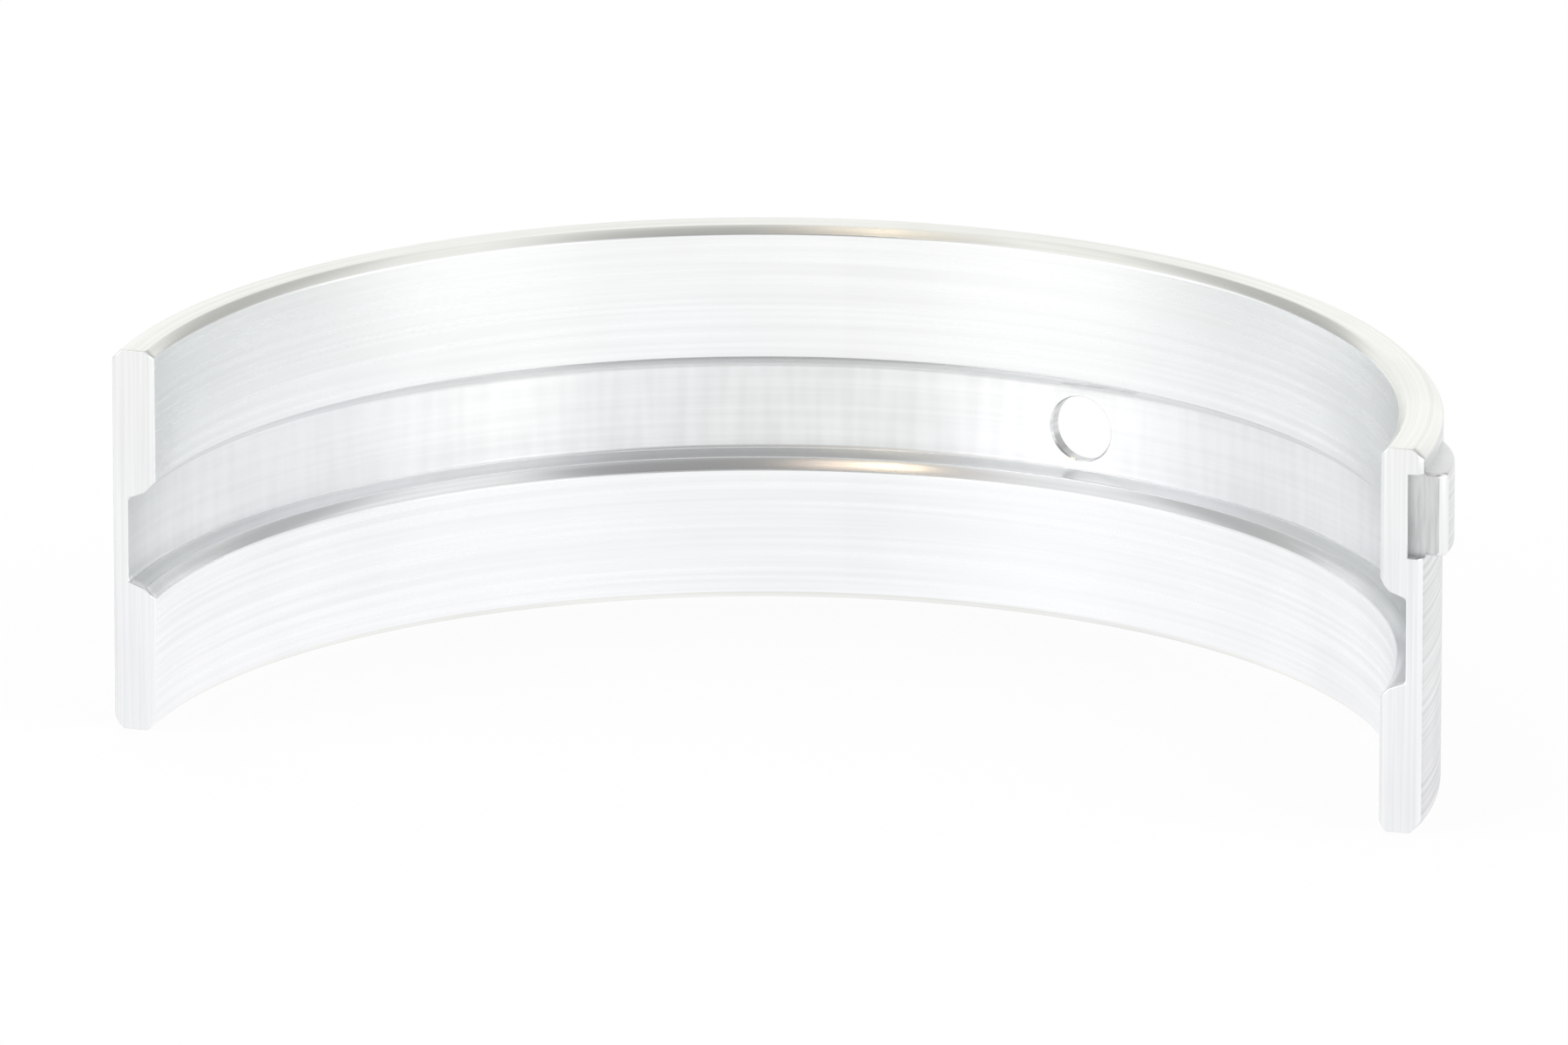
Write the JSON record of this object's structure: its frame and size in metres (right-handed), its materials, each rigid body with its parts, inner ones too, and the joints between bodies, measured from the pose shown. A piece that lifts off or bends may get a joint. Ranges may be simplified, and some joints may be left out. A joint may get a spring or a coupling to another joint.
{
  "type": "engine bearing shell",
  "caption": "Thin-walled half shell of a plain split bearing, with an oil groove round its bore, an oil feed hole and a locating tang pressed out at a joint face.",
  "frame": {"origin": "on the bearing axis, in the joint plane, midway between the two end faces", "axes": "+Z along the bearing axis towards the end face that the tang lies near, +Y from the joint plane towards the crown of the shell, +X towards the joint face with the tang"},
  "size_m": [0.0609, 0.03, 0.0176],
  "materials": {
    "bearing_metal": "satin silver bearing metal with fine bored lines round the bore"
  },
  "bodies": {
    "root": {"bearing_shell": "bearing_metal"}
  },
  "joints": []
}
